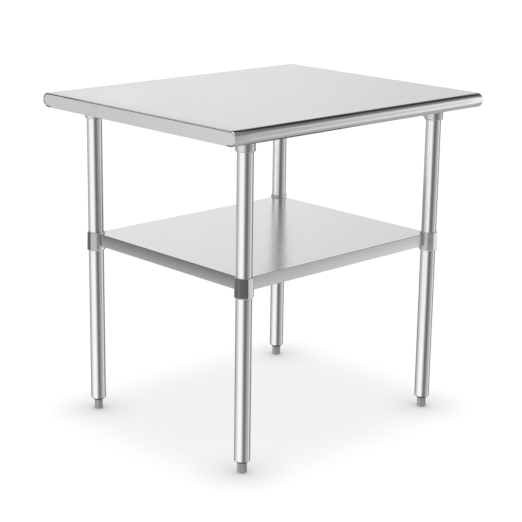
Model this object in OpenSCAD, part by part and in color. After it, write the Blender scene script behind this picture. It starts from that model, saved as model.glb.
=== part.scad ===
// Work table for a restaurant kitchen: a stainless top with rolled front and rear edges on four
// round galvanised legs, an adjustable galvanised undershelf and four levelling feet.
// Millimetres, +Z up. Origin on the floor, under the centre of the top. The front edge faces -Y.

/* [Top] */
// Length of the top along the rolled edges
top_length = 914; // [760:1:1220]
// Depth of the top from front to rear
top_depth = 762; // [610:1:914]
// Height of the work surface with the feet screwed fully in
top_height = 902; // [840:1:960]
// Height of the rolled edges and of the end plates
edge_height = 38; // [34:1:44]
// Thickness of the top sheet
top_sheet = 1.2; // [1:0.1:1.6]
// Width of the flat lip under each rolled edge
edge_lip = 12; // [6:1:20]
// Thickness of the end plates
end_plate_sheet = 1.5; // [1:0.1:2]

/* [Channels] */
// Width of the closed face of each hat channel
channel_width = 64; // [60:1:80]
// Height of the hat channels under the top
channel_height = 25; // [18:1:28]
// Width of each flange of a hat channel
channel_flange = 18; // [10:1:25]
// Thickness of the hat channels
channel_sheet = 1.5; // [1.2:0.1:2]

/* [Legs] */
// Outside diameter of the leg tube
leg_diameter = 41.3; // [38:0.1:50]
// Wall of the leg tube
leg_wall = 1.5; // [1.2:0.1:2.5]
// From the end of the top to the leg centre
leg_inset_length = 107; // [80:1:140]
// From the rolled edge to the leg centre
leg_inset_depth = 82; // [70:1:110]
// From the floor to the lower end of the leg tube
leg_lift = 34; // [30:1:40]

/* [Leg sockets] */
// Wall of the leg socket
socket_wall = 4.35; // [3:0.05:6]
// From the top surface down to the lower rim of the socket
socket_drop = 70; // [60:1:90]
// Thickness of the plate that closes the socket
socket_plate = 3; // [2:0.5:4]
// Chamfer round the lower rim of the socket
socket_chamfer = 3; // [1:0.5:3]
// How far the screw boss stands out from the socket wall
boss_reach = 7; // [5:0.5:10]
// Diameter of the screw bosses
boss_diameter = 16; // [14:0.5:18]
// Radial play between a leg and what clamps it
leg_clearance = 0.08; // [0.02:0.01:0.1]

/* [Undershelf] */
// Height of the shelf surface
shelf_height = 512; // [420:1:620]
// Height of the turned-down skirts
skirt_height = 34; // [28:1:44]
// How far the face of a skirt lies outside the axes of the legs
skirt_offset = 2; // [0:0.5:6]
// Gap between the end of a skirt and the collar
skirt_clearance = 4.5; // [0.5:0.1:6]
// Thickness of the shelf sheet
shelf_sheet = 1.2; // [1:0.1:1.6]
// Width of the hem turned in under each skirt
hem_width = 10; // [6:1:14]
// Height of the stiffening channel under the shelf
stiffener_height = 22; // [14:1:26]

/* [Shelf collars] */
// Height of the collars that hold the shelf
collar_height = 52; // [48:1:64]
// How far the collars stand above the shelf surface
collar_rise = 5; // [0:0.5:8]
// Height of the rounded lower rim of a collar
collar_rim = 2; // [1:0.5:3]
// Wall of a collar at its upper rim
collar_wall = 3.1; // [2.5:0.1:5]
// How much wider a collar is at its lower rim
collar_flare = 3; // [0:0.5:5]
// Length of the wings welded inside the skirts
wing_length = 58; // [50:1:80]
// Thickness of the wings
wing_sheet = 3; // [2:0.5:3]

/* [Screws] */
// Diameter of the clamping screws
screw_diameter = 8; // [6:0.5:8]
// Play of a screw in its threaded hole
thread_clearance = 0.1; // [0.05:0.05:0.2]
// Gap between a screw tip and the leg it clamps
tip_gap = 0.3; // [0.3:0.1:0.5]
// Width of the hexagon socket in a screw
key_size = 4; // [3:0.5:4]

/* [Feet] */
// Width across the flats of a foot
foot_width = 22; // [20:0.5:24]
// Diameter of the threaded stud of a foot
stud_diameter = 10; // [8:0.5:12]
// Length of the stud above the foot
stud_length = 42; // [38:1:48]
// Height of the cone of a leg bush below the tube
bush_cone = 5; // [4:0.5:8]
// Diameter of that cone at its lower end
bush_cone_diameter = 31; // [28:0.5:34]
// Length of the bush inside the leg
bush_depth = 30; // [20:1:40]
// Gap between a foot screwed fully in and its bush
foot_gap = 0.5; // [0.3:0.1:1]
// Radial play between a stud and its bush
stud_clearance = 0.08; // [0.02:0.01:0.1]

/* [Hidden] */
round_fn = 96;
seam = 0.3;
cut = 1;
edge_r = edge_height / 2;
edge_y = top_depth / 2 - edge_r;
leg_x = top_length / 2 - leg_inset_length;
leg_y = top_depth / 2 - leg_inset_depth;
leg_r = leg_diameter / 2;
bore_r = leg_r + leg_clearance;
socket_diameter = leg_diameter + 2 * socket_wall;
channel_top = top_height - top_sheet;
channel_under = channel_top - channel_height;
channel_half = edge_y - edge_lip - 5;
socket_low = top_height - socket_drop;
socket_seat = channel_under - socket_plate;
leg_top = socket_seat - seam;
boss_z = socket_low + boss_diameter / 2 + 1;
socket_boss_end = socket_diameter / 2 + boss_reach;
socket_screw_start = bore_r + tip_gap;
shelf_x = leg_x + skirt_offset;
shelf_y = leg_y + skirt_offset;
collar_r = leg_r + collar_wall;
collar_low_r = collar_r + collar_flare / 2;
collar_bottom = shelf_height + collar_rise - collar_height;
collar_cone = collar_height - collar_rim;
notch_r = collar_r + collar_flare / 2 * (collar_rise + shelf_sheet) / collar_cone + seam;
collar_boss_end = collar_low_r + boss_reach;
collar_boss_z = shelf_height - skirt_height / 2 - 2;
wing_face = skirt_offset - shelf_sheet;
skirt_gap = sqrt(pow(collar_low_r, 2) - pow(wing_face, 2)) + skirt_clearance;
bush_bottom = leg_lift - bush_cone;
foot_top = bush_bottom - foot_gap;
plug_r = leg_r - leg_wall - 0.1;
bush_bore_r = stud_diameter / 2 + stud_clearance;

// A slab with half-round front and rear ends, seen from the end of the table
module edge_outline(inset) {
    translate([-edge_y, top_height - edge_height + inset])
        square([2 * edge_y, edge_height - 2 * inset]);
    for (side = [-1, 1])
        translate([side * edge_y, top_height - edge_r])
            circle(r = edge_r - inset, $fn = round_fn);
}

// Turns an outline drawn in Y and Z into a bar that runs along X
module along_x(start, length) {
    translate([start, 0, 0])
        rotate([90, 0, 90])
            linear_extrude(height = length)
                children();
}

// Puts something drawn for the front left corner on any of the four corners
module at_corner(right, rear) {
    mirror([right, 0, 0])
        mirror([0, rear, 0])
            translate([-leg_x, -leg_y, 0])
                children();
}

module table_top() {
    color("#d6d8da")
        along_x(-top_length / 2, top_length)
            difference() {
                edge_outline(0);
                edge_outline(top_sheet);
                translate([edge_lip - edge_y, top_height - edge_height - cut])
                    square([2 * (edge_y - edge_lip), top_sheet + 2 * cut]);
            }
}

module end_plate() {
    inset = top_sheet + seam;
    slot = edge_y - edge_lip - seam;
    color("#c8cacc") {
        along_x(-top_length / 2 + seam, end_plate_sheet)
            union() {
                edge_outline(inset);
                translate([-slot, top_height - edge_height])
                    square([2 * slot, edge_r]);
            }
        translate([-top_length / 2 + seam, -slot, top_height - edge_height])
            cube([16, 2 * slot, end_plate_sheet]);
    }
}

module end_plate_left() {
    end_plate();
}

module end_plate_right() {
    mirror([1, 0, 0])
        end_plate();
}

// Section of a hat channel that hangs from a flat sheet at height zero
module hat_outline(width, height, flange, sheet) {
    for (side = [-1, 1]) {
        translate([side * (width / 2 + flange / 2 - sheet / 2) - flange / 2 - sheet / 2, -sheet])
            square([flange + sheet, sheet]);
        translate([side * (width / 2 - sheet / 2) - sheet / 2, -height])
            square([sheet, height]);
    }
    translate([-width / 2, -height])
        square([width, sheet]);
}

module top_channel() {
    color("#b4b8ba")
        translate([-leg_x, channel_half, channel_top])
            rotate([90, 0, 0])
                linear_extrude(height = 2 * channel_half)
                    hat_outline(channel_width, channel_height, channel_flange, channel_sheet);
}

module top_channel_left() {
    top_channel();
}

module top_channel_right() {
    mirror([1, 0, 0])
        top_channel();
}

// The screw boss and its hole point along +Y, toward the middle of the table
module leg_socket() {
    wall_height = socket_seat - socket_low;
    color("#a9acae")
        difference() {
            union() {
                translate([-channel_width / 2, -channel_width / 2, socket_seat])
                    cube([channel_width, channel_width, socket_plate]);
                translate([0, 0, socket_low + socket_chamfer])
                    cylinder(d = socket_diameter, h = wall_height - socket_chamfer + cut / 2,
                        $fn = round_fn);
                translate([0, 0, socket_low])
                    cylinder(d1 = socket_diameter - 2 * socket_chamfer, d2 = socket_diameter,
                        h = socket_chamfer, $fn = round_fn);
                translate([0, 0, boss_z])
                    rotate([-90, 0, 0])
                        cylinder(d = boss_diameter, h = socket_boss_end, $fn = round_fn);
            }
            translate([0, 0, socket_low - cut])
                cylinder(r = bore_r, h = wall_height + cut, $fn = round_fn);
            translate([0, 0, boss_z])
                rotate([-90, 0, 0])
                    cylinder(r = screw_diameter / 2 + thread_clearance, h = socket_boss_end + cut,
                        $fn = round_fn);
        }
}

module socket_front_left() {
    at_corner(0, 0) leg_socket();
}

module socket_front_right() {
    at_corner(1, 0) leg_socket();
}

module socket_rear_left() {
    at_corner(0, 1) leg_socket();
}

module socket_rear_right() {
    at_corner(1, 1) leg_socket();
}

// A headless screw lying along +Y, with a hexagon socket in its outer end
module clamp_screw(start, end) {
    key_depth = 4;
    color("#8f9294")
        rotate([-90, 0, 0])
            difference() {
                translate([0, 0, start])
                    cylinder(d = screw_diameter, h = end - start, $fn = round_fn);
                translate([0, 0, end - key_depth])
                    cylinder(d = key_size / cos(30), h = key_depth + cut, $fn = 6);
            }
}

module socket_screws() {
    for (right = [0, 1], rear = [0, 1])
        at_corner(right, rear)
            translate([0, 0, boss_z])
                clamp_screw(socket_screw_start, socket_boss_end + 1);
}

module leg_tube() {
    color("#c2c5c7")
        translate([0, 0, leg_lift])
            difference() {
                cylinder(d = leg_diameter, h = leg_top - leg_lift, $fn = round_fn);
                translate([0, 0, -cut])
                    cylinder(r = leg_r - leg_wall, h = leg_top - leg_lift + 2 * cut,
                        $fn = round_fn);
            }
}

module leg_front_left() {
    at_corner(0, 0) leg_tube();
}

module leg_front_right() {
    at_corner(1, 0) leg_tube();
}

module leg_rear_left() {
    at_corner(0, 1) leg_tube();
}

module leg_rear_right() {
    at_corner(1, 1) leg_tube();
}

module leg_bush() {
    color("#4a4c4e")
        difference() {
            union() {
                translate([0, 0, bush_bottom])
                    cylinder(d1 = bush_cone_diameter, d2 = leg_diameter, h = bush_cone,
                        $fn = round_fn);
                translate([0, 0, leg_lift - cut])
                    cylinder(r = plug_r, h = bush_depth + cut, $fn = round_fn);
            }
            translate([0, 0, bush_bottom - cut])
                cylinder(r = bush_bore_r, h = bush_cone + bush_depth + 2 * cut, $fn = round_fn);
        }
}

module bush_front_left() {
    at_corner(0, 0) leg_bush();
}

module bush_front_right() {
    at_corner(1, 0) leg_bush();
}

module bush_rear_left() {
    at_corner(0, 1) leg_bush();
}

module bush_rear_right() {
    at_corner(1, 1) leg_bush();
}

// The stud is moulded into the upper part of the foot
module foot_stud() {
    color("#9a9da0")
        translate([0, 0, foot_top - 14])
            cylinder(d = stud_diameter, h = stud_length + 14, $fn = round_fn);
}

module stud_front_left() {
    at_corner(0, 0) foot_stud();
}

module stud_front_right() {
    at_corner(1, 0) foot_stud();
}

module stud_rear_left() {
    at_corner(0, 1) foot_stud();
}

module stud_rear_right() {
    at_corner(1, 1) foot_stud();
}

// A hexagon with its upper and lower corners turned away, as on a nut
module levelling_foot(turn) {
    corner_r = foot_width / 2 / cos(30);
    bevel = 3;
    color("#8c8e90")
        difference() {
            intersection() {
                rotate([0, 0, turn])
                    cylinder(r = corner_r, h = foot_top, $fn = 6);
                union() {
                    cylinder(r1 = corner_r - bevel, r2 = corner_r + 0.2, h = bevel + 0.2,
                        $fn = round_fn);
                    translate([0, 0, bevel + 0.2])
                        cylinder(r = corner_r + 0.2, h = foot_top - 2 * bevel - 0.4,
                            $fn = round_fn);
                    translate([0, 0, foot_top - bevel - 0.2])
                        cylinder(r1 = corner_r + 0.2, r2 = corner_r - bevel, h = bevel + 0.2,
                            $fn = round_fn);
                }
            }
            translate([0, 0, foot_top - 14])
                cylinder(d = stud_diameter, h = 14 + cut, $fn = round_fn);
        }
}

module foot_front_left() {
    at_corner(0, 0) levelling_foot(15);
}

module foot_front_right() {
    at_corner(1, 0) levelling_foot(40);
}

module foot_rear_left() {
    at_corner(0, 1) levelling_foot(5);
}

module foot_rear_right() {
    at_corner(1, 1) levelling_foot(25);
}

// The round notches that the shelf leaves open for the collars, seen from above
module shelf_notches() {
    for (right = [-1, 1], rear = [-1, 1])
        translate([right * leg_x, rear * leg_y])
            circle(r = notch_r, $fn = round_fn);
}

module undershelf() {
    hem_z = shelf_height - skirt_height;
    color("#cbced0")
        union() {
            translate([0, 0, shelf_height - shelf_sheet])
                linear_extrude(height = shelf_sheet)
                    difference() {
                        translate([-shelf_x, -shelf_y])
                            square([2 * shelf_x, 2 * shelf_y]);
                        shelf_notches();
                    }
            for (side = [0, 1]) {
                mirror([0, side, 0]) {
                    translate([skirt_gap - leg_x, -shelf_y, hem_z])
                        cube([2 * (leg_x - skirt_gap), shelf_sheet, skirt_height]);
                    translate([skirt_gap - leg_x, -shelf_y, hem_z])
                        cube([2 * (leg_x - skirt_gap), hem_width, shelf_sheet]);
                }
                mirror([side, 0, 0]) {
                    translate([-shelf_x, skirt_gap - leg_y, hem_z])
                        cube([shelf_sheet, 2 * (leg_y - skirt_gap), skirt_height]);
                    translate([-shelf_x, skirt_gap - leg_y, hem_z])
                        cube([hem_width, 2 * (leg_y - skirt_gap), shelf_sheet]);
                }
            }
        }
}

module shelf_stiffener() {
    color("#b4b8ba")
        along_x(hem_width + 4 - shelf_x, 2 * (shelf_x - hem_width - 4))
            translate([0, shelf_height - shelf_sheet])
                hat_outline(channel_width, stiffener_height, channel_flange, channel_sheet);
}

// Drawn for the front left corner: the wings run back along +Y and along +X, and the screw
// boss points at the middle of the table
module shelf_collar() {
    wing_low = shelf_height - skirt_height + shelf_sheet;
    wing_high = shelf_height - shelf_sheet - wing_low;
    color("#aeb1b3")
        difference() {
            union() {
                translate([0, 0, collar_bottom + collar_rim])
                    cylinder(r1 = collar_low_r, r2 = collar_r, h = collar_cone, $fn = round_fn);
                translate([0, 0, collar_bottom])
                    cylinder(r1 = collar_low_r - collar_rim, r2 = collar_low_r, h = collar_rim,
                        $fn = round_fn);
                translate([-wing_face, 0, wing_low])
                    cube([wing_sheet, wing_length, wing_high]);
                translate([0, -wing_face, wing_low])
                    cube([wing_length, wing_sheet, wing_high]);
                translate([0, 0, collar_boss_z])
                    rotate([-90, 0, -45])
                        cylinder(d = boss_diameter, h = collar_boss_end, $fn = round_fn);
            }
            translate([0, 0, collar_bottom - cut])
                cylinder(r = bore_r, h = collar_height + 2 * cut, $fn = round_fn);
            translate([0, 0, collar_boss_z])
                rotate([-90, 0, -45])
                    cylinder(r = screw_diameter / 2 + thread_clearance, h = collar_boss_end + cut,
                        $fn = round_fn);
        }
}

module collar_front_left() {
    at_corner(0, 0) shelf_collar();
}

module collar_front_right() {
    at_corner(1, 0) shelf_collar();
}

module collar_rear_left() {
    at_corner(0, 1) shelf_collar();
}

module collar_rear_right() {
    at_corner(1, 1) shelf_collar();
}

module collar_screws() {
    for (right = [0, 1], rear = [0, 1])
        at_corner(right, rear)
            translate([0, 0, collar_boss_z])
                rotate([0, 0, -45])
                    clamp_screw(socket_screw_start, collar_boss_end + 1);
}

table_top();
end_plate_left();
end_plate_right();
top_channel_left();
top_channel_right();
socket_front_left();
socket_front_right();
socket_rear_left();
socket_rear_right();
socket_screws();
leg_front_left();
leg_front_right();
leg_rear_left();
leg_rear_right();
bush_front_left();
bush_front_right();
bush_rear_left();
bush_rear_right();
stud_front_left();
stud_front_right();
stud_rear_left();
stud_rear_right();
foot_front_left();
foot_front_right();
foot_rear_left();
foot_rear_right();
undershelf();
shelf_stiffener();
collar_front_left();
collar_front_right();
collar_rear_left();
collar_rear_right();
collar_screws();
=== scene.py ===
# %% [markdown]
# # A restaurant work table, piece by piece
# The real table is a stainless top on four round galvanised legs, with a galvanised shelf that
# clamps to the legs. Almost every piece is sheet metal or tube, so almost every shape here is a
# profile carried along a path. The frame comes from the CAD model, and its boxes give the places.

# %% Load the frame
import math
import bpy
import bmesh
import numpy as np
from mathutils import Matrix, Vector


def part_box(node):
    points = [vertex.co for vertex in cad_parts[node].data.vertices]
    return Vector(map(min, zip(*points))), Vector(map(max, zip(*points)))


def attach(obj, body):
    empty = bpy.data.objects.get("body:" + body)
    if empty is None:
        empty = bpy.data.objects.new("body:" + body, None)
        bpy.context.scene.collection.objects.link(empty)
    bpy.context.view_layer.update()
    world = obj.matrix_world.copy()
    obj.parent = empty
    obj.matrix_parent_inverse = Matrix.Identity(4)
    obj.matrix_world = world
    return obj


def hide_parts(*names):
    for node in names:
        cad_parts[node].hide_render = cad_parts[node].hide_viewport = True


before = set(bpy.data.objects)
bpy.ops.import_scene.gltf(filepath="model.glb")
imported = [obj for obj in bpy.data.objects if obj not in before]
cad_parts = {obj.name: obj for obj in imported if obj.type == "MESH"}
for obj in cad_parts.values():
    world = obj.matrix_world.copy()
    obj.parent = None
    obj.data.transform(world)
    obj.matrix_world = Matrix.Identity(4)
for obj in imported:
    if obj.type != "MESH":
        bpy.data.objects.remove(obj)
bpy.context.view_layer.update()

MM = 0.001

# %% [markdown]
# ## Nodes and colours
# A colour picked on a screen is sRGB, but light adds up in linear values, so one function
# converts every hex colour. A second one adds a shader node and sets or links its sockets.

# %% Colour and node helpers
def colour(hex_code):
    """sRGB to linear: divide by 12.92 in the darkest part, above it a power of 2.4."""
    parts = np.array([int(hex_code[i:i + 2], 16) / 255 for i in (1, 3, 5)])
    linear = np.where(parts <= 0.04045, parts / 12.92, ((parts + 0.055) / 1.055) ** 2.4)
    return (*linear.tolist(), 1.0)


def add(tree, kind, inputs=(), **settings):
    """Adds a node. A socket among the inputs is linked, and any other value is set."""
    made = tree.nodes.new(kind)
    for key, value in settings.items():
        setattr(made, key, value)
    for key, value in dict(inputs).items():
        if isinstance(value, bpy.types.NodeSocket):
            tree.links.new(value, made.inputs[key])
        else:
            made.inputs[key].default_value = value
    return made


print("mid grey in linear light:", round(colour("#808080")[0], 3))

# %% [markdown]
# ## The camera
# The table is seen from its front left corner, a little above the top, through a long lens that
# keeps its sides nearly parallel. The camera is placed by its position and its aim.

# %% Camera
CAMERA_PLACE = (-2.684, -2.801, 1.511)
CAMERA_YAW, CAMERA_PITCH, CAMERA_ROLL = -0.7624, 0.2536, 0.0140
LENS = 99.91
SHIFT_UP = -0.05


def aim(yaw, pitch, roll):
    """Right, up and back axes: forward is turned by yaw from +Y and dipped by pitch."""
    forward = Vector((-math.sin(yaw) * math.cos(pitch), math.cos(yaw) * math.cos(pitch),
                      -math.sin(pitch)))
    level = Vector((math.cos(yaw), math.sin(yaw), 0))
    over = level.cross(forward)
    right = math.cos(roll) * level + math.sin(roll) * over
    up = math.cos(roll) * over - math.sin(roll) * level
    return Matrix((right, up, -forward)).transposed()


scene = bpy.context.scene
camera = bpy.data.objects.new("camera", bpy.data.cameras.new("camera"))
scene.collection.objects.link(camera)
camera.location = CAMERA_PLACE
camera.rotation_euler = aim(CAMERA_YAW, CAMERA_PITCH, CAMERA_ROLL).to_euler()
camera.data.lens = LENS
camera.data.shift_y = SHIFT_UP
scene.camera = camera
scene.view_settings.view_transform = "Standard"
print("camera looks down by", round(math.degrees(CAMERA_PITCH), 1), "degrees")

# %% [markdown]
# ## The studio
# Bare metal shows the room more than its own colour, so the room is designed first. The world is
# a dim room with soft panels, each given by the compass bearing and height it stands at, and two
# dark cloths. The high cloth gives the rolled edge its dark line, and the narrow one gives each
# leg a dark stripe. Bearing 0 is behind the table (+Y) and 90 is to its right (+X). The camera
# itself sees plain white.

# %% Room of soft panels
ROOM_LIGHT = 0.35
BACKGROUND_GREY = 0.8  # the background node's own colour, which scales every light
PANELS = [
    # name, bearing, half width, height, half height, soft edge, soft edge up, light
    ("back wall", 30, 30, 5, 16, 22, 6, 0.93),
    ("left corner", -32, 22, -12, 24, 15, 10, 0.58),
    ("left window", -92, 38, -8, 34, 20, 16, 1.40),
    ("right strip", 121, 9, -1, 28, 8, 10, 1.50),
    ("front fill", 152, 18, -6, 34, 12, 12, 0.42),
    ("floor glow", 0, 400, -60, 32, 10, 8, 0.38),
    ("ceiling", 0, 400, 78, 20, 10, 10, 0.60),
]
CLOTHS = [
    ("high cloth", 62, 34, 41, 12, 12, 6, 0.95),
    ("narrow cloth", -162, 12, -8, 40, 9, 10, 0.30),
]


def panel(tree, direction, bearing, half_width, height, half_height, soft, soft_up, level):
    """Soft-edged patch of sky: a fade across the bearing times a fade up the height."""
    turned = add(tree, "ShaderNodeVectorRotate", {
        "Vector": direction, "Angle": math.radians(bearing)}, rotation_type="Z_AXIS")
    split = add(tree, "ShaderNodeSeparateXYZ", {"Vector": turned.outputs[0]})
    across = add(tree, "ShaderNodeMath", {0: split.outputs[0], 1: split.outputs[1]},
                 operation="ARCTAN2")
    up = add(tree, "ShaderNodeMath", {0: split.outputs[2]}, operation="ARCSINE")
    level_out = level
    for angle, middle, half, fade_by in ((across, 0, half_width, soft),
                                         (up, height, half_height, soft_up)):
        offset = add(tree, "ShaderNodeMath", {0: angle.outputs[0], 1: math.radians(middle)},
                     operation="SUBTRACT")
        size = add(tree, "ShaderNodeMath", {0: offset.outputs[0]}, operation="ABSOLUTE")
        fade = add(tree, "ShaderNodeMapRange", {
            "Value": size.outputs[0], "From Min": math.radians(half - fade_by),
            "From Max": math.radians(half + fade_by), "To Min": 1.0, "To Max": 0.0},
            interpolation_type="SMOOTHSTEP")
        level_out = add(tree, "ShaderNodeMath", {0: fade.outputs[0], 1: level_out},
                        operation="MULTIPLY").outputs[0]
    return level_out


world = bpy.data.worlds.new("studio room")
world.use_nodes = True
scene.world = world
room = world.node_tree
room.nodes.clear()
direction = add(room, "ShaderNodeTexCoord").outputs["Generated"]
light = ROOM_LIGHT
for name, *numbers in PANELS:
    light = add(room, "ShaderNodeMath", {0: panel(room, direction, *numbers), 1: light},
                operation="ADD").outputs[0]
for name, *numbers in CLOTHS:
    kept = add(room, "ShaderNodeMath", {0: 1.0, 1: panel(room, direction, *numbers)},
               operation="SUBTRACT").outputs[0]
    light = add(room, "ShaderNodeMath", {0: light, 1: kept}, operation="MULTIPLY").outputs[0]
seen = add(room, "ShaderNodeLightPath").outputs["Is Camera Ray"]
shown = add(room, "ShaderNodeMix", {"Factor": seen, "A": light,
                                    "B": 1 / BACKGROUND_GREY}).outputs[0]
glow = add(room, "ShaderNodeBackground", {"Strength": shown})
add(room, "ShaderNodeOutputWorld", {"Surface": glow.outputs[0]})
print(len(PANELS), "panels and", len(CLOTHS), "cloths in the room")

# %% [markdown]
# ## The floor and the lamp over it
# The floor is a pale sweep that is almost as bright as paper. It glows evenly, as a lit cyclorama
# does, and takes only a faint shadow from one large soft lamp overhead. Its glow dims within
# 130 mm of anything that stands on it, which gives each foot a soft contact shadow. Metal doesn't
# mirror the floor, because the panels above already stand for the whole room.

# %% Floor and lamp
FLOOR_HALF = 30.0
FLOOR_GLOW, FLOOR_PAPER = 0.80, 0.24
CONTACT_REACH = 130 * MM
LAMP_POWER, LAMP_DEGREES = 1.6, 14
floor_mesh = bpy.data.meshes.new("floor")
corners = np.array([(-1, -1, 0), (1, -1, 0), (1, 1, 0), (-1, 1, 0)]) * FLOOR_HALF
floor_mesh.from_pydata(corners.tolist(), [], [(0, 1, 2, 3)])
floor = bpy.data.objects.new("floor", floor_mesh)
scene.collection.objects.link(floor)
floor.visible_glossy = False
floor.visible_diffuse = False

floor_material = bpy.data.materials.new("pale studio sweep")
floor_material.use_nodes = True
sweep = floor_material.node_tree
sweep.nodes.clear()
contact = add(sweep, "ShaderNodeAmbientOcclusion", {"Distance": CONTACT_REACH}).outputs["AO"]
dimmed = add(sweep, "ShaderNodeMath", {0: contact, 1: FLOOR_GLOW}, operation="MULTIPLY")
even = add(sweep, "ShaderNodeEmission", {"Color": (1, 1, 1, 1), "Strength": dimmed.outputs[0]})
paper = add(sweep, "ShaderNodeBsdfDiffuse", {"Color": (FLOOR_PAPER,) * 3 + (1,)})
both = add(sweep, "ShaderNodeAddShader", {0: even.outputs[0], 1: paper.outputs[0]})
add(sweep, "ShaderNodeOutputMaterial", {"Surface": both.outputs[0]})
floor_mesh.materials.append(floor_material)

lamp = bpy.data.objects.new("overhead lamp", bpy.data.lights.new("overhead lamp", "SUN"))
lamp.data.energy = LAMP_POWER
lamp.data.angle = math.radians(LAMP_DEGREES)
scene.collection.objects.link(lamp)
print("floor reaches", FLOOR_HALF, "m each way")

# %% [markdown]
# ## Shapes as grids
# Each piece is a stack of rings: a closed outline repeated along a path, or a profile turned
# about an axis. Quads join ring to ring. If the last ring meets the first the surface is closed,
# as in a tube with a bore, and otherwise a flat face closes each end. The signed volume tells
# whether the faces point outward, so a mirrored copy can be turned the right way round.

# %% Lofts, outward faces and pieces
def loft(rings, looped=False):
    """Joins rings of points, shaped (ring, point, xyz), by quads from each to the next."""
    count, points = rings.shape[:2]
    index = np.arange(count * points).reshape(count, points)
    near = index if looped else index[:-1]
    far = np.roll(index, -1, 0) if looped else index[1:]
    quads = np.stack([near, np.roll(near, -1, 1), np.roll(far, -1, 1), far], -1).reshape(-1, 4)
    ends = [] if looped else [index[0][::-1], index[-1]]
    return rings.reshape(-1, 3), quads, ends


def outward(shell):
    """Adds up the volumes of the cones from the origin to each face, and turns all faces if
    the sum is negative."""
    points, quads, ends = shell
    fans = [np.stack([np.full(len(e) - 2, e[0]), e[1:-1], e[2:]], -1) for e in ends]
    triangles = np.concatenate([quads[:, :3], quads[:, [0, 2, 3]], *fans])
    a, b, c = (points[triangles[:, i]] for i in range(3))
    if np.einsum("ij,ij->", a, np.cross(b, c)) < 0:
        quads, ends = quads[:, ::-1], [e[::-1] for e in ends]
    return points, quads, ends


def piece(name, shells, finish, body, slot, *nodes, sharp=32):
    """One object from closed shells. It rides on a body and stands for its CAD nodes."""
    points, faces, start = [], [], 0
    for shell in shells:
        corner, quads, ends = outward(shell)
        points.append(corner)
        faces += (quads + start).tolist() + [(e + start).tolist() for e in ends]
        start += len(corner)
    mesh = bpy.data.meshes.new(name)
    mesh.from_pydata(np.concatenate(points).tolist(), [], faces)
    return finish_piece(name, mesh, finish, body, nodes, sharp)


def finish_piece(name, mesh, finish, body, nodes, sharp=32):
    mesh.polygons.foreach_set("use_smooth", np.ones(len(mesh.polygons), bool))
    mesh.set_sharp_from_angle(angle=math.radians(sharp))
    mesh.materials.append(finish)
    made = bpy.data.objects.new(name, mesh)
    scene.collection.objects.link(made)
    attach(made, body)
    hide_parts(*nodes)
    print(f"{name}: {len(mesh.polygons)} faces")
    return made


# %% [markdown]
# ## Bent sheet
# Sheet metal is drawn as the middle line of the sheet. Each corner of that line becomes an arc,
# because a press brake can't make a sharp bend, and the two faces lie half a sheet to each side.
# A second point close to each arc keeps the flats truly flat when the surface is shaded smooth.

# %% Bent strips and sweeps
def bent_line(corners, radius, steps=7):
    """Points and unit normals along a line whose corners are arcs of the given radius."""
    corners = np.asarray(corners, float)
    legs = np.diff(corners, axis=0)
    long = np.linalg.norm(legs, axis=1)
    ways = legs / long[:, None]
    sides = np.stack([-ways[:, 1], ways[:, 0]], -1)
    points, normals = [corners[:1]], [sides[:1]]
    for i in range(1, len(corners) - 1):
        turn = math.atan2(ways[i - 1][0] * ways[i][1] - ways[i - 1][1] * ways[i][0],
                          ways[i - 1] @ ways[i])
        run = radius * math.tan(abs(turn) / 2)
        hand = math.copysign(1, turn)
        middle = corners[i] - ways[i - 1] * run + sides[i - 1] * radius * hand
        angle = np.linspace(0, turn, steps + 1)[:, None]
        spun = sides[i - 1] * np.cos(angle) + np.array([-sides[i - 1][1], sides[i - 1][0]]) \
            * np.sin(angle)
        bend = middle - spun * radius * hand
        before = [bend[:1] - ways[i - 1] * 0.5] if long[i - 1] > 2 * run + 2 else []
        after = [bend[-1:] + ways[i] * 0.5] if long[i] > 2 * run + 2 else []
        points += [*before, bend, *after]
        normals += [*[sides[i - 1:i]] * len(before), spun, *[sides[i:i + 1]] * len(after)]
    return (np.concatenate([*points, corners[-1:]]),
            np.concatenate([*normals, sides[-1:]]))


def strip(corners, sheet, radius, steps=7):
    """Closed outline of a bent strip: one face there, the other face back."""
    line, normal = bent_line(corners, radius, steps)
    return np.concatenate([line + normal * sheet / 2, (line - normal * sheet / 2)[::-1]])


def along(axis, stations, outlines):
    """Carries outlines (one, or one for each station) along X, Y or Z."""
    stations = np.asarray(stations, float)
    outlines = np.broadcast_to(outlines, (len(stations), *np.shape(outlines)[-2:]))
    path = np.broadcast_to(stations[:, None, None], (*outlines.shape[:2], 1))
    a, b = outlines[..., :1], outlines[..., 1:]
    order = {"X": (path, a, b), "Y": (a, path, b), "Z": (a, b, path)}[axis]
    return np.concatenate(order, -1)


def turned(profile, steps=96):
    """Turns a closed profile of (radius, height) round the Z axis."""
    angle = np.linspace(0, 2 * math.pi, steps, endpoint=False)[:, None]
    radius, height = profile[None, :, 0], profile[None, :, 1]
    return np.stack(np.broadcast_arrays(radius * np.cos(angle), radius * np.sin(angle), height),
                    -1)


def arc(middle, radius, start, end, steps=6):
    """Points on a circle from one angle to another, in degrees."""
    angle = np.radians(np.linspace(start, end, steps + 1))
    return np.stack([middle[0] + radius * np.cos(angle), middle[1] + radius * np.sin(angle)], -1)


sample = strip([(0, 0), (20, 0), (20, 20)], 1.2, 3)
print("an L of sheet has", len(sample), "outline points")

# %% [markdown]
# ## Where things are
# Every number that the CAD model already holds is read from it. The four corners of the table are
# mirror images, so a corner piece is drawn once, with both its axes pointing in toward the middle
# of the table, and placed four times.

# %% Corners of the table
CORNERS = {"front_left": (1, 1), "front_right": (-1, 1), "rear_left": (1, -1),
           "rear_right": (-1, -1)}


def millimetres(node):
    low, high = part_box(node)
    return np.array(low) / MM, np.array(high) / MM


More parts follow.
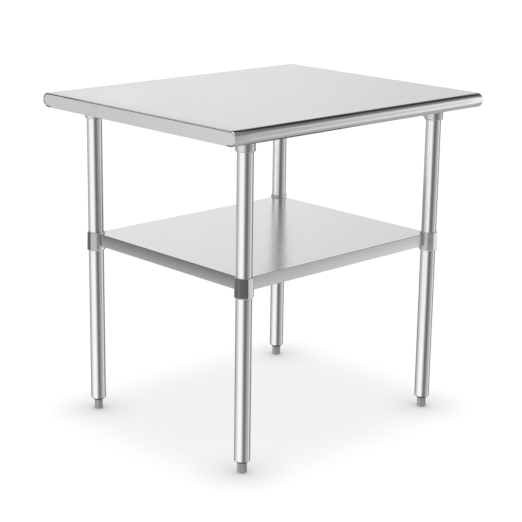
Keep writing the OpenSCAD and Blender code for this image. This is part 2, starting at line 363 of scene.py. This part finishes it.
def middle_of(node):
    low, high = millimetres(node)
    return (low + high) / 2


def at_corner(corner, shells):
    """Mirrors shells drawn about a leg axis, and moves them to that leg, in metres."""
    place = middle_of("leg_" + corner) * (1, 1, 0)
    way = np.array([*CORNERS[corner], 1])
    return [((points * way + place) * MM, quads, ends) for points, quads, ends in shells]


def in_metres(*shells):
    return [(points * MM, quads, ends) for points, quads, ends in shells]


leg_low, leg_high = millimetres("leg_front_left")
leg_r = (leg_high[0] - leg_low[0]) / 2
leg_x, leg_y = abs(middle_of("leg_front_left")[:2])
print(f"legs of {2 * leg_r:.1f} mm stand at {leg_x:.0f} and {leg_y:.0f} mm from the middle")

# %% [markdown]
# ## Finish: brushed stainless sheet
# The top is type 304 stainless steel with a number 4 finish, which a belt of about 150 grit leaves
# as short fine scratches along the length. The eye sees a soft, slightly streaked mirror with no
# colour of its own. Real scratches are 0.1 mm apart. They are drawn 1.5 mm apart, or they would
# vanish, and a slow cloudy change of roughness stands for years of wiping.

# %% Brushed stainless
def new_finish(name, **constant):
    """A material with one shader, its fixed sockets set, and the object's own coordinates."""
    material = bpy.data.materials.new(name)
    material.use_nodes = True
    tree = material.node_tree
    tree.nodes.clear()
    shader = add(tree, "ShaderNodeBsdfPrincipled",
                 {key.replace("_", " "): value for key, value in constant.items()})
    add(tree, "ShaderNodeOutputMaterial", {"Surface": shader.outputs[0]})
    where = add(tree, "ShaderNodeTexCoord").outputs["Object"]
    return material, tree, shader, where


def dress(tree, shader, shade, tints, mottle, span, gloss, height, strength, depth):
    """Links what every finish here has: a tint between two colours by the shade, a roughness
    between two values as the mottle crosses its span, and a relief of some millimetres."""
    tint = add(tree, "ShaderNodeMix", {"Factor": shade, "A": colour(tints[0]),
                                       "B": colour(tints[1])}, data_type="RGBA")
    rough = add(tree, "ShaderNodeMapRange", {"Value": mottle, "From Min": span[0],
                                             "From Max": span[1], "To Min": gloss[0],
                                             "To Max": gloss[1]})
    relief = add(tree, "ShaderNodeBump", {"Height": height, "Strength": strength,
                                          "Distance": depth * MM})
    tree.links.new(tint.outputs["Result"], shader.inputs["Base Color"])
    tree.links.new(rough.outputs[0], shader.inputs["Roughness"])
    tree.links.new(relief.outputs[0], shader.inputs["Normal"])


def streaks(tree, where, grain, length, spacing, detail):
    """A noise squeezed across the grain: its scale is one over the streak's size."""
    scale = [1 / (length * MM) if axis == grain else 1 / (spacing * MM) for axis in "XYZ"]
    squeezed = add(tree, "ShaderNodeMapping", {"Vector": where, "Scale": scale})
    return add(tree, "ShaderNodeTexNoise", {
        "Vector": squeezed.outputs[0], "Scale": 1.0, "Detail": detail,
        "Roughness": 0.6}).outputs[0]


def brushed(name, grain, dark, light, smooth, rough, spacing=1.5, length=90.0, depth=0.004):
    """Streaks mixed with clouds about 220 mm wide."""
    material, tree, shader, where = new_finish(name, Metallic=1.0)
    streak = streaks(tree, where, grain, length, spacing, 3.0)
    cloud = add(tree, "ShaderNodeTexNoise", {
        "Vector": where, "Scale": 1 / (220 * MM), "Detail": 2.0, "Roughness": 0.5})
    mixed = add(tree, "ShaderNodeMix", {"Factor": 0.45, "A": streak,
                                        "B": cloud.outputs[0]}).outputs[0]
    tone = add(tree, "ShaderNodeMapRange", {"Value": mixed, "From Min": 0.35, "From Max": 0.65})
    dress(tree, shader, tone.outputs[0], (dark, light), mixed, (0.35, 0.65), (smooth, rough),
          streak, 0.35, depth)
    return material


stainless_top = brushed("stainless 304 brushed along the length", "X", "#CFD0D0", "#D9DADA",
                        0.17, 0.24)
stainless_end = brushed("stainless 304 brushed across the end", "Y", "#D6D7D8", "#E0E1E1",
                        0.20, 0.28)
print("brushed:", stainless_top.name, "and", stainless_end.name)

# %% [markdown]
# ## The top
# One sheet makes the work surface and both rolled edges, and ends in a flat lip underneath. Its
# section is a bent strip with a half circle at each end, carried along X. The cut edges at the two
# ends are rubbed a little thinner, as the fabricator's file leaves them, so they catch the light.

# %% Rolled top
SHEET = 1.2
top_low, top_high = millimetres("table_top")
edge_height = 38.0
edge_r = edge_height / 2
roll_y = top_high[1] - edge_r
LIP = 12.0


def rolled_section(sheet):
    bend = edge_r - SHEET / 2
    low, high = top_high[2] - edge_height + SHEET / 2, top_high[2] - SHEET / 2
    out = roll_y + bend
    return strip([(LIP - roll_y, low), (-out, low), (-out, high), (out, high), (out, low),
                  (roll_y - LIP, low)], sheet, bend, steps=24)


rub = 0.3
ends = np.array([0, rub, 3 * rub, 60])
stations = np.concatenate([top_low[0] + ends, np.linspace(-300, 300, 7), top_high[0] - ends[::-1]])
thinner = np.concatenate([[2 * rub, rub / 2, 0, 0], np.zeros(7), [0, 0, rub / 2, 2 * rub]])
sections = np.stack([rolled_section(SHEET - cut) for cut in thinner])
piece("rolled_top", in_metres(loft(along("X", stations, sections))), stainless_top, "frame",
      "stainless_sheet", "table_top")

# %% [markdown]
# ## The end plates
# A pressed plate closes each end of the rolled profile. It sits just inside the sheet, so a thin
# dark seam runs round it, and its edges are rounded by the press. The outline is worked out for
# any inset, and rings of growing inset round the edge over. A flange along its lower edge turns
# in.

# %% End plates
PLATE = 1.5
PLATE_GAP = 2.2
PLATE_ROUND = 0.9
PLATE_SET_IN = 0.35


def plate_outline(inset):
    """Round at the front and rear, and straight below between the two lips."""
    radius = edge_r - SHEET - PLATE_GAP - inset
    middle = top_high[2] - edge_r
    reach = roll_y - LIP - 0.6 - inset
    low = top_high[2] - edge_height + inset
    return np.concatenate([
        arc((roll_y, middle), radius, -90, 90, 24), arc((-roll_y, middle), radius, 90, 270, 24),
        [(-reach, middle - radius), (-reach, low), (reach, low), (reach, middle - radius)]])


def end_plate(side):
    outer = PLATE_SET_IN
    turn = np.radians(np.linspace(0, 90, 6))
    depth = outer + PLATE_ROUND * (1 - np.sin(turn))
    inset = PLATE_ROUND * (1 - np.cos(turn))
    depth = np.concatenate([[outer + PLATE], depth, [outer]])
    inset = np.concatenate([[0], inset, [PLATE_ROUND + 0.5]])
    rings = along("X", depth, np.stack([plate_outline(i) for i in inset]))
    back = outer + PLATE / 2 + 1.2
    flange = strip([(back, 9), (back, PLATE / 2), (16, PLATE / 2)], PLATE, 2.2)
    reach = roll_y - LIP - 2
    fold = along("Y", [-reach, reach], flange) + (0, 0, top_high[2] - edge_height + 0.05)
    place = np.array([side * top_low[0], 0, 0])
    way = np.array([side, 1, 1])
    return in_metres(loft(rings * way + place), loft(fold * way + place))


piece("end_plate_pressed_left", end_plate(1), stainless_end, "frame", "stainless_sheet",
      "end_plate_left")
piece("end_plate_pressed_right", end_plate(-1), stainless_end, "frame", "stainless_sheet",
      "end_plate_right")

# %% [markdown]
# ## Finish: galvanised sheet and tube
# Steel dipped in molten zinc comes out pale blue-grey, and the zinc freezes into crystals a few
# millimetres wide, called spangle. Rolled sheet keeps faint lines along the strip. The skirts of
# the shelf are duller, darker at their upper fold and paler toward the hem. The skirts at the two
# ends are a darker copy of the front and rear skirts, as painted shade. Tube is dipped thin and
# wiped, so it is brighter, with streaks along its length. The streaks are drawn 2 to 3 mm apart,
# coarser than the real ones, so that they show.

# %% Galvanised finishes
def galvanised(name, grain, dark, light, smooth, rough, spangle=7.0, spangle_share=0.25,
               spacing=2.0, length=140.0, depth=0.006, tint_heights=None):
    """Streaks as on brushed sheet, mixed with a mosaic of cells for the zinc crystals. Tint
    heights, if given, are two heights in metres, between which the tint goes from dark to light."""
    material, tree, shader, where = new_finish(name, Metallic=1.0)
    streak = streaks(tree, where, grain, length, spacing, 4.0)
    crystal = add(tree, "ShaderNodeTexVoronoi", {"Vector": where, "Scale": 1 / (spangle * MM)})
    grey = add(tree, "ShaderNodeSeparateColor", {"Color": crystal.outputs["Color"]})
    mixed = add(tree, "ShaderNodeMix", {"Factor": spangle_share, "A": streak,
                                        "B": grey.outputs[0]}).outputs[0]
    shade = mixed
    if tint_heights:
        # Tint by height alone: dark at the first height, light at the second.
        height = add(tree, "ShaderNodeSeparateXYZ", {"Vector": where}).outputs[2]
        height_tint = add(tree, "ShaderNodeMapRange", {"Value": height, "From Min": tint_heights[0],
                                                  "From Max": tint_heights[1]}).outputs[0]
        shade = add(tree, "ShaderNodeMix", {"Factor": 0.75, "A": mixed, "B": height_tint}).outputs[0]
    dress(tree, shader, shade, (dark, light), mixed, (0.25, 0.75), (smooth, rough), mixed, 0.3,
          depth)
    return material


shelf_zinc = galvanised("galvanised sheet, rolled", "X", "#DEE0E2", "#EEEFF0", 0.17, 0.24)
skirt_low, skirt_high = (height[2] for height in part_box("undershelf"))
# Painted shade: the end skirts take a darker copy of the sheet than the front and rear skirts.
end_skirt_painted_shade = galvanised("galvanised sheet, end skirts, painted shade", "Y", "#6E7072", "#B6B8B9",
                        0.30, 0.42, tint_heights=(skirt_high, skirt_low))
front_skirt_painted_light = galvanised("galvanised sheet, front and rear skirts, painted lighter", "X", "#BABCBE", "#DCDEDF",
                        0.24, 0.34, tint_heights=(skirt_high, skirt_low))
tube_zinc = galvanised("galvanised tube, wiped", "Z", "#D2D3D4", "#D9DADB", 0.19, 0.25,
                       spangle=5.0, spangle_share=0.15, spacing=3.0, length=400.0, depth=0.001)
channel_zinc = galvanised("galvanised channel, rolled", "Y", "#A6A9AB", "#C6C9CA", 0.35, 0.48)
print("galvanised:", shelf_zinc.name, tube_zinc.name, channel_zinc.name, sep=" | ")

# %% [markdown]
# ## Hat channels
# A channel with a hat section is the usual stiffener: two flanges spot welded to the sheet, two
# webs and a closed face. Two of them under the top carry the leg sockets, and one runs under the
# shelf. One bent strip, carried along the channel, makes each.

# %% Channels
def hat(width, height, flange, sheet):
    """Middle line of a hat section that hangs from height zero."""
    half, low = width / 2 - sheet / 2, sheet / 2 - height
    return [(-width / 2 - flange, -sheet / 2), (-half, -sheet / 2), (-half, low), (half, low),
            (half, -sheet / 2), (width / 2 + flange, -sheet / 2)]


CHANNEL_SHEET, CHANNEL_WIDTH, CHANNEL_FLANGE, CHANNEL_BEND = 1.5, 64, 18, 2.2


def channel_outline(low, high):
    line = hat(CHANNEL_WIDTH, high[2] - low[2], CHANNEL_FLANGE, CHANNEL_SHEET)
    return strip(line, CHANNEL_SHEET, CHANNEL_BEND)


for side in ("left", "right"):
    low, high = millimetres("top_channel_" + side)
    bar = along("Y", [low[1], high[1]], channel_outline(low, high))
    bar += ((low[0] + high[0]) / 2, 0, high[2])
    piece("hat_channel_" + side, in_metres(loft(bar)), channel_zinc, "frame",
          "galvanised_sheet", "top_channel_" + side)
low, high = millimetres("shelf_stiffener")
bar = along("X", [low[0], high[0]], channel_outline(low, high)) + (0, 0, high[2])
piece("shelf_hat_channel", in_metres(loft(bar)), channel_zinc, "shelf", "galvanised_sheet",
      "shelf_stiffener")

# %% [markdown]
# ## Legs
# Each leg is a length of welded tube with its cut ends deburred. The wall's section is a thin
# closed rectangle with rounded ends, turned about the axis, so the bore is real.

# %% Leg tubes
LEG_WALL = 1.5


def leg_wall_section(low, high):
    inner, deburr = leg_r - LEG_WALL, 0.6
    return np.concatenate([
        arc((leg_r - deburr, low + deburr), deburr, -90, 0, 4),
        [(leg_r, low + 3), (leg_r, high - 3)],
        arc((leg_r - deburr, high - deburr), deburr, 0, 90, 4),
        [(inner, high), (inner, low)]])


for corner in CORNERS:
    low, high = millimetres("leg_" + corner)
    tube = loft(turned(leg_wall_section(low[2], high[2]), 128), looped=True)
    piece("leg_tube_" + corner, at_corner(corner, [tube]), tube_zinc, "frame",
          "galvanised_tube", "leg_" + corner)

# %% [markdown]
# ## Finish: as-cast clamp metal
# Sockets and collars are die-cast aluminium. Its satin skin has a very fine grain and is slightly
# uneven where the metal flowed. The collars show three tones of it: the outer flats carry painted
# shade, the rims and the faces toward the front and the rear carry a painted highlight, and the
# rest is blasted to a mid grey.

# %% As-cast clamp
def as_cast(name, dark, light, smooth, rough, marks=18.0):
    """Flow marks, about two centimetres wide unless given. The relief has grain of 0.8 mm,
    several times as coarse as the real one, so that it shows."""
    material, tree, shader, where = new_finish(name, Metallic=1.0)
    flow = add(tree, "ShaderNodeTexNoise", {"Vector": where, "Scale": 1 / (marks * MM),
                                            "Detail": 4.0, "Roughness": 0.65,
                                            "Distortion": 0.6}).outputs[0]
    grain = add(tree, "ShaderNodeTexNoise", {"Vector": where, "Scale": 1 / (0.8 * MM),
                                             "Detail": 2.0}).outputs[0]
    dress(tree, shader, flow, (dark, light), flow, (0.3, 0.7), (smooth, rough), grain, 0.25, 0.02)
    return material


socket_cast = as_cast("die-cast aluminium, bright", "#B6B8BA", "#D0D2D3", 0.26, 0.36)
collar_cast = as_cast("die-cast aluminium, blasted", "#A4A6A8", "#C4C6C8", 0.36, 0.48, marks=5.0)
# Two copies of the collar metal carry painted light: a dark one, painted shade for the outer
# flats, and a bright one, a painted highlight for the rims and the faces toward the front and the
# rear.
collar_painted_shade = as_cast("die-cast aluminium, painted shade", "#585A5C", "#848688",
                      0.48, 0.62, marks=4.0)
collar_painted_highlight = as_cast("die-cast aluminium, painted highlight", "#DEE0E1", "#F0F1F2", 0.26, 0.38)
print("cast:", socket_cast.name, collar_cast.name, collar_painted_shade.name, collar_painted_highlight.name, sep=" | ")

# %% [markdown]
# ## Leg sockets
# A socket is a cup welded to a square plate under the channel, and its lower lip is rounded so
# that it doesn't cut the hand. The cup is a turned profile with its bore, the plate is a rounded
# rectangle with softened edges, and a boss for the clamping screw stands out toward the middle.

# %% Sockets
BORE_R = leg_r + 0.08
BOSS_R = 8.0
SCREW_HOLE_R = 4.1
CUP_R = 25.0
SEAT_WIDTH, SEAT_PLATE = 64, 3.0


def rounded_rectangle(width, depth, corner, steps=5):
    """Four quarter circles in turn, joined by the straight sides."""
    x, y = width / 2 - corner, depth / 2 - corner
    return np.concatenate([arc((x, y), corner, 0, 90, steps), arc((-x, y), corner, 90, 180, steps),
                           arc((-x, -y), corner, 180, 270, steps),
                           arc((x, -y), corner, 270, 360, steps)])


def block(width, depth, low, high, corner=1.0, soft=0.4):
    """A plate with rounded corners and softened edges, standing on the Z axis."""
    full = rounded_rectangle(width, depth, corner)
    less = rounded_rectangle(width - 2 * soft, depth - 2 * soft, corner - soft)
    return along("Z", [low, low + soft, high - soft, high], np.stack([less, full, full, less]))


def boss(start, end, height, radius=BOSS_R, hole=SCREW_HOLE_R):
    """A short tube along +Y: a turned profile laid on its side."""
    profile = np.concatenate([[(hole, start), (radius, start), (radius, end - 1.2)],
                              arc((radius - 1, end - 1), 1, 0, 90, 4), [(hole, end)]])
    tube = turned(profile, 48)
    return tube[..., [0, 2, 1]] * (1, 1, -1) + (0, 0, height)


for corner in CORNERS:
    low, high = millimetres("socket_" + corner)
    seat = high[2] - SEAT_PLATE
    wall = np.concatenate([
        [(BORE_R, seat + 0.5), (BORE_R, low[2] + 0.6)],
        arc((BORE_R + 0.6, low[2] + 0.6), 0.6, 180, 270, 3),
        arc((CUP_R - 2.4, low[2] + 2.4), 2.4, -90, 0, 8), [(CUP_R, low[2] + 5)],
        [(CUP_R, seat + 0.5)]])
    boss_height = middle_of("socket_screws")[2]
    cup = [loft(turned(wall, 128), looped=True),
           loft(block(SEAT_WIDTH, SEAT_WIDTH, seat, high[2], 4)),
           loft(boss(CUP_R - 3, 32, boss_height), looped=True)]
    piece("leg_socket_" + corner, at_corner(corner, cup), socket_cast, "frame", "cast_clamp",
          "socket_" + corner)

# %% [markdown]
# ## The undershelf
# The shelf is one galvanised sheet. Its four sides are folded down into skirts and in again into
# narrow hems. Its corners are cut away round the collars, and the skirts end a little before them.
# The flat is one face bounded by the straight sides and the four round notches. Each fold is a
# surface of two parameters, along the side and round the bend, that starts at the edge of the
# flat. All of them share their border points, so merging the doubles makes one closed skin.

# %% Undershelf
shelf_low, shelf_high = millimetres("undershelf")
SKIRT_OUT = shelf_high[0] - leg_x
SKIRT_GAP = 29.7
NOTCH_R = 24.6
FLAT_EDGE = 2.4
TAB_EDGE = 0.8
TAB_STEP = 0.25
HEM = 10.0
FOLD_R = 1.8


def notch():
    """Border of one notch: an arc round the collar, and a tab at each end of it where the flat
    runs on past the end of the skirt."""
    edge, tab = FLAT_EDGE - SKIRT_OUT, TAB_EDGE - SKIRT_OUT
    swing = math.degrees(math.asin(tab / NOTCH_R))
    return np.concatenate([
        [(edge, SKIRT_GAP), (tab, SKIRT_GAP - TAB_STEP)],
        arc((0, 0), NOTCH_R, 90 - swing, swing, 32),
        [(SKIRT_GAP - TAB_STEP, tab), (SKIRT_GAP, edge)]])


def fold_section():
    """Round the fold, as distance in from the skirt's face and height: out over the top and
    down to the hem's end, then back up inside."""
    low, high, t = shelf_low[2], shelf_high[2], SHEET
    outer = np.concatenate([
        [(FLAT_EDGE, high), (FOLD_R + 0.4, high)],
        arc((FOLD_R, high - FOLD_R), FOLD_R, 90, 180, 7), [(0, high - FOLD_R - 0.5)],
        [(0, low + FOLD_R + 0.5)], arc((FOLD_R, low + FOLD_R), FOLD_R, 180, 270, 7)])
    inner = np.concatenate([
        arc((FOLD_R, low + FOLD_R), FOLD_R - t, 270, 180, 7), [(t, low + FOLD_R + 0.5)],
        [(t, high - FOLD_R - 0.5)], arc((FOLD_R, high - FOLD_R), FOLD_R - t, 180, 90, 7),
        [(FOLD_R + 0.4, high - t), (FLAT_EDGE, high - t)]])
    return np.concatenate([outer, [(HEM, low), (HEM, low + t)], inner])


def side_stations(half):
    return np.linspace(-half, half, 13)


def open_grid(rows):
    """Quads over a grid whose far sides are left open."""
    count, points = rows.shape[:2]
    index = np.arange(count * points).reshape(count, points)
    return np.stack([index[:-1, :-1], index[:-1, 1:], index[1:, 1:], index[1:, :-1]],
                    -1).reshape(-1, 4)


def flat_border():
    """Goes once round the flat: a notch, the stations of the next side, and so on."""
    inner_x, inner_y = shelf_high[:2] - FLAT_EDGE
    shape, leg = notch(), np.array([leg_x, leg_y])
    x_run = side_stations(leg_x - SKIRT_GAP)[1:-1]
    y_run = side_stations(leg_y - SKIRT_GAP)[1:-1]
    return np.concatenate([
        shape - leg,
        np.stack([x_run, np.full(len(x_run), -inner_y)], -1),
        (shape[::-1] - leg) * (-1, 1),
        np.stack([np.full(len(y_run), inner_x), y_run], -1),
        leg - shape,
        np.stack([x_run[::-1], np.full(len(x_run), inner_y)], -1),
        (shape[::-1] - leg) * (1, -1),
        np.stack([np.full(len(y_run), -inner_x), y_run[::-1]], -1)])


def undershelf_mesh():
    """The four folds with their end caps, then the flat's two faces and its notch walls."""
    points, faces, start = [], [], 0
    section = fold_section()
    for axis, half, face in (("X", leg_x - SKIRT_GAP, shelf_high[1]),
                             ("Y", leg_y - SKIRT_GAP, shelf_high[0])):
        stations = side_stations(half)
        for side in (-1, 1):
            outline = np.stack([side * (face - section[:, 0]), section[:, 1]], -1)
            rows = along(axis, stations, outline)
            cap = np.arange(len(section)) + start
            points.append(rows.reshape(-1, 3))
            faces += (open_grid(rows) + start).tolist()
            faces += [cap.tolist(), (cap[::-1] + (len(stations) - 1) * len(section)).tolist()]
            start += len(stations) * len(section)
    border = flat_border()
    count = len(border)
    for height in (shelf_high[2], shelf_high[2] - SHEET):
        points.append(np.column_stack([border, np.full(count, height)]))
    ring = np.arange(count) + start
    after = np.roll(ring, -1)
    faces += [ring.tolist(), (ring[::-1] + count).tolist()]
    on_side = np.abs(np.abs(border) - (shelf_high[:2] - FLAT_EDGE)) < 0.01
    folded = (on_side & np.roll(on_side, -1, 0)).any(1)
    walls = np.stack([ring, ring + count, after + count, after], -1)
    faces += walls[~folded].tolist()
    mesh = bpy.data.meshes.new("undershelf_tray")
    mesh.from_pydata((np.concatenate(points) * MM).tolist(), [], faces)
    work = bmesh.new()
    work.from_mesh(mesh)
    bmesh.ops.remove_doubles(work, verts=work.verts, dist=1e-6)
    bmesh.ops.recalc_face_normals(work, faces=work.faces)
    open_edges = sum(not e.is_manifold for e in work.edges)
    print("undershelf: open edges", open_edges, "volume cm3",
          round(work.calc_volume() * 1e6, 1))
    work.to_mesh(mesh)
    work.free()
    return mesh


def face_vectors(mesh, kind):
    """The normal or the center of every face, shaped (face, xyz)."""
    flat = np.zeros(len(mesh.polygons) * 3, np.float32)
    mesh.polygons.foreach_get(kind, flat)
    return flat.reshape(-1, 3)


def paint(made, finishes, choice):
    """Adds finishes to a piece, and gives each face the one that its choice names."""
    for finish in finishes:
        made.data.materials.append(finish)
    made.data.polygons.foreach_set("material_index", choice.astype(np.int32))


tray = finish_piece("undershelf_tray", undershelf_mesh(), shelf_zinc, "shelf",
                    ("undershelf",))
# The end skirts get the darker copy with painted shade, and the front and rear skirts get the
# lighter copy.
sideways, forward = np.abs(face_vectors(tray.data, "normal")[:, :2]).T > 0.8
paint(tray, (end_skirt_painted_shade, front_skirt_painted_light), sideways + 2 * forward)

# %% [markdown]
# ## Shelf collars
# A collar grips each leg where the shelf crosses it, and stands a little above the shelf. Its
# outer side is cast with flats that meet in soft corners, its inner side is round, and it widens
# a little toward its lower rim. The outline is a power mean of the distances to the flats: the
# higher the power, the crisper the corners. Two wings lie behind the skirts, and a boss for the
# clamping screw points at the middle of the table.

# %% Collars
CRISP = 26
DIAGONAL, SQUARE, ROUND_R = 22.5, 23.7, 23.75
FLARE = 1.4
WING_SHEET = 2.8
WING_FROM, WING_TO = 21.6, 57.9


def collar_radius(angle):
    """Distance to the outer skin: flats on the outer side, a circle on the inner side."""
    ways = np.radians(np.arange(8) * 45)
    reach = np.where(np.arange(8) % 2 == 1, DIAGONAL, SQUARE)
    toward = np.clip(np.cos(angle[..., None] - ways), 0, None) / reach
    flats = np.sum(toward ** CRISP, -1) ** (-1 / CRISP)
    outer = np.clip(0.5 - 1.6 * np.cos(angle - np.radians(45)), 0, 1)
    share = outer * outer * (3 - 2 * outer)
    return share * flats + (1 - share) * ROUND_R


def collar_rings(low, high):
    """Up the outside, over the rim, down the bore and out along the lower rim."""
    height = np.concatenate([[low, low + 0.5, low + 2.2], np.linspace(low + 3, high - 2, 6),
                             [high - 1.1, high - 0.45, high - 0.1, high, high, high - 0.5,
                              low + 0.5, low]])
    wider = FLARE * np.clip((high - height) / (high - low), 0, 1)
    less = np.array([1.9, 1.5, 0.1, 0, 0, 0, 0, 0, 0, 0.1, 0.45, 0.9, 1.3])
    angle = np.linspace(0, 2 * math.pi, 192, endpoint=False)
    skin = collar_radius(angle)[None, :] + (wider[:13] - less)[:, None]
    bore = np.full((4, len(angle)), BORE_R) + np.array([0.4, 0, 0, 0.4])[:, None]
    radius = np.concatenate([skin, bore])
    level = np.broadcast_to(height[:, None], radius.shape)
    return np.stack([radius * np.cos(angle), radius * np.sin(angle), level], -1)


def spin(rings, degrees):
    a = math.radians(degrees)
    turn = np.array([[math.cos(a), math.sin(a), 0], [-math.sin(a), math.cos(a), 0], [0, 0, 1]])
    return rings @ turn


def collar_faces(mesh, corner):
    """Finish of each face: 1 for painted shade on the outer flats, 2 for a painted highlight on
    the rims and on faces toward the front and the rear, and 0 elsewhere."""
    way = (*CORNERS[corner], 1)
    normal = face_vectors(mesh, "normal") * way
    from_axis = face_vectors(mesh, "center") / MM - middle_of("leg_" + corner) * (1, 1, 0)
    rim = np.abs(normal[:, 2]) >= 0.6
    outer = (normal[:, 0] < -0.4) & (normal[:, 1] < 0.3) & ((from_axis * way)[:, 0] < -5)
    highlight_faces = rim | (np.abs(normal[:, 1]) > 0.75)
    return np.where(outer & ~rim, 1, np.where(highlight_faces, 2, 0))


wing_middle = WING_SHEET / 2 + 0.05 - (SKIRT_OUT - SHEET)
wing_length, wing_place = WING_TO - WING_FROM, (WING_TO + WING_FROM) / 2
for corner in CORNERS:
    low, high = millimetres("collar_" + corner)
    wing_low, wing_high = shelf_low[2] + SHEET, shelf_high[2] - SHEET - 0.1
    wing_along_x = block(wing_length, WING_SHEET, wing_low, wing_high)
    wing_along_y = block(WING_SHEET, wing_length, wing_low, wing_high)
    screw_height = middle_of("collar_screws")[2]
    shells = [loft(collar_rings(low[2], high[2] - 0.05), looped=True),
              loft(wing_along_x + (wing_place, wing_middle, 0)),
              loft(wing_along_y + (wing_middle, wing_place, 0)),
              loft(spin(boss(22, 32.2, screw_height), -45), looped=True)]
    collar = piece("shelf_collar_" + corner, at_corner(corner, shells), collar_cast, "shelf",
                   "cast_clamp", "collar_" + corner, sharp=40)
    # Painted shade on the outer flats, and a painted highlight on the rims and on the faces toward
    # the front and the rear.
    paint(collar, (collar_painted_shade, collar_painted_highlight), collar_faces(collar.data, corner))

# %% [markdown]
# ## Finish: moulded plastic and plated screws
# The bushes are black nylon and the feet are grey nylon, both injection moulded, with the faint
# texture of a spark-eroded mould. The clamping screws are steel with bright zinc plating.

# %% Plastic and plated screws
def moulded(name, dark, light, smooth, rough):
    """Mould texture 0.6 mm wide, coarser than the real one so that it shows, and slow patches
    of scuffing 6 mm wide."""
    material, tree, shader, where = new_finish(name, Metallic=0.0, IOR=1.53)
    mould = add(tree, "ShaderNodeTexNoise", {"Vector": where, "Scale": 1 / (0.6 * MM),
                                             "Detail": 2.0}).outputs[0]
    scuff = add(tree, "ShaderNodeTexNoise", {"Vector": where, "Scale": 1 / (6 * MM),
                                             "Detail": 5.0, "Roughness": 0.7}).outputs[0]
    dress(tree, shader, scuff, (dark, light), scuff, (0.3, 0.7), (smooth, rough), mould, 0.3,
          0.03)
    return material


black_nylon = moulded("black nylon, moulded", "#1B1C1D", "#2E2F30", 0.42, 0.55)
grey_nylon = moulded("grey nylon, moulded", "#989A9C", "#B0B2B4", 0.45, 0.58)
plated_screw = as_cast("zinc-plated steel screw", "#A9ABAD", "#C9CBCC", 0.22, 0.32)
for name in ("socket_screws", "collar_screws"):
    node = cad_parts[name]
    node.data.materials.clear()
    node.data.materials.append(plated_screw)
print("plastics:", black_nylon.name, "|", grey_nylon.name)

# %% [markdown]
# ## Bushes, studs and feet
# A bush plugs the lower end of each leg and tapers below it. The stud is a real M10 thread, drawn
# as a radius that rises and falls once for each 1.5 mm of height and shifts by one turn as it goes
# round. The foot is a hexagon turned away at its corners like a nut: at each height its radius is
# the smaller of the hexagon's and a cone's. Each foot stands turned by its own angle.

# %% Bushes
BUSH_BORE_R = 5.08
for corner in CORNERS:
    low, high = millimetres("bush_" + corner)
    shoulder, plug = leg_low[2], leg_r - LEG_WALL - 0.1
    profile = np.concatenate([
        [(BUSH_BORE_R, high[2]), (BUSH_BORE_R, low[2] + 0.4), (BUSH_BORE_R + 0.4, low[2])],
        arc((15.0, low[2] + 0.5), 0.5, -90, 0, 3), [(leg_r - 0.3, shoulder - 0.5)],
        [(leg_r - 0.05, shoulder - 0.2), (leg_r - 0.2, shoulder - 0.02)],
        [(plug, shoulder + 0.05), (plug, high[2] - 1), (plug - 0.7, high[2])]])
    piece("leg_bush_" + corner, at_corner(corner, [loft(turned(profile), looped=True)]),
          black_nylon, "frame", "dark_plastic", "bush_" + corner)

# %% Threaded studs
PITCH = 1.5


def thread(low, high, crest=4.97, root=4.15, around=32, per_pitch=6):
    """Radius as a triangle wave of height less one pitch for each turn."""
    height = np.linspace(low, high, int((high - low) / PITCH * per_pitch))[:, None]
    angle = np.linspace(0, 2 * math.pi, around, endpoint=False)[None, :]
    phase = (height / PITCH - angle / (2 * math.pi)) % 1
    wave = np.abs(2 * phase - 1)
    lead_in = np.clip((high - height) / 1.2, 0, 1)
    radius = root + (crest - root) * wave * lead_in
    return np.stack(np.broadcast_arrays(radius * np.cos(angle), radius * np.sin(angle), height),
                    -1)


for corner in CORNERS:
    low, high = millimetres("stud_" + corner)
    piece("threaded_stud_" + corner, at_corner(corner, [loft(thread(low[2], high[2]))]),
          plated_screw, "levelling_foot_" + corner, "plated_screw", "stud_" + corner, sharp=60)

# %% Levelling feet
FOOT_WIDTH = 22.0
FOOT_CRISP = 90
FOOT_HOLE_R, FOOT_HOLE_DEPTH = 5.06, 13.9
FOOT_TURNS = {"front_left": 15, "front_right": 40, "rear_left": 5, "rear_right": 25}


def foot_rings(high, turn):
    """Soft hexagon cut by a cone at its upper and lower edges, with a hole for the stud."""
    angle = np.linspace(0, 2 * math.pi, 144, endpoint=False)
    ways = np.radians(np.arange(6) * 60 + 30 + turn)
    toward = np.clip(np.cos(angle[:, None] - ways), 0, None)
    hexagon = FOOT_WIDTH / 2 * np.sum(toward ** FOOT_CRISP, -1) ** (-1 / FOOT_CRISP)
    corner_r = FOOT_WIDTH / 2 / math.cos(math.radians(30))
    height = np.concatenate([[0, 0.25, 0.9, 1.8], np.linspace(3, high - 3, 3),
                             [high - 1.8, high - 0.9, high - 0.3, high]])
    edge = np.minimum(height, high - height)
    cone = corner_r - 3 + edge
    soft = np.array([0.5, 0.1, 0, 0, 0, 0, 0, 0, 0, 0.2, 0.7])
    radius = np.minimum(hexagon[None, :], cone[:, None]) - soft[:, None]
    hole = np.full((2, len(angle)), FOOT_HOLE_R)
    radius = np.concatenate([radius, hole])
    level = np.concatenate([height, [high, high - FOOT_HOLE_DEPTH]])[:, None]
    return np.stack(np.broadcast_arrays(radius * np.cos(angle), radius * np.sin(angle), level),
                    -1)


for corner in CORNERS:
    low, high = millimetres("foot_" + corner)
    rings = foot_rings(high[2], FOOT_TURNS[corner])
    piece("levelling_foot_" + corner, at_corner(corner, [loft(rings)]), grey_nylon,
          "levelling_foot_" + corner, "grey_plastic", "foot_" + corner, sharp=22)
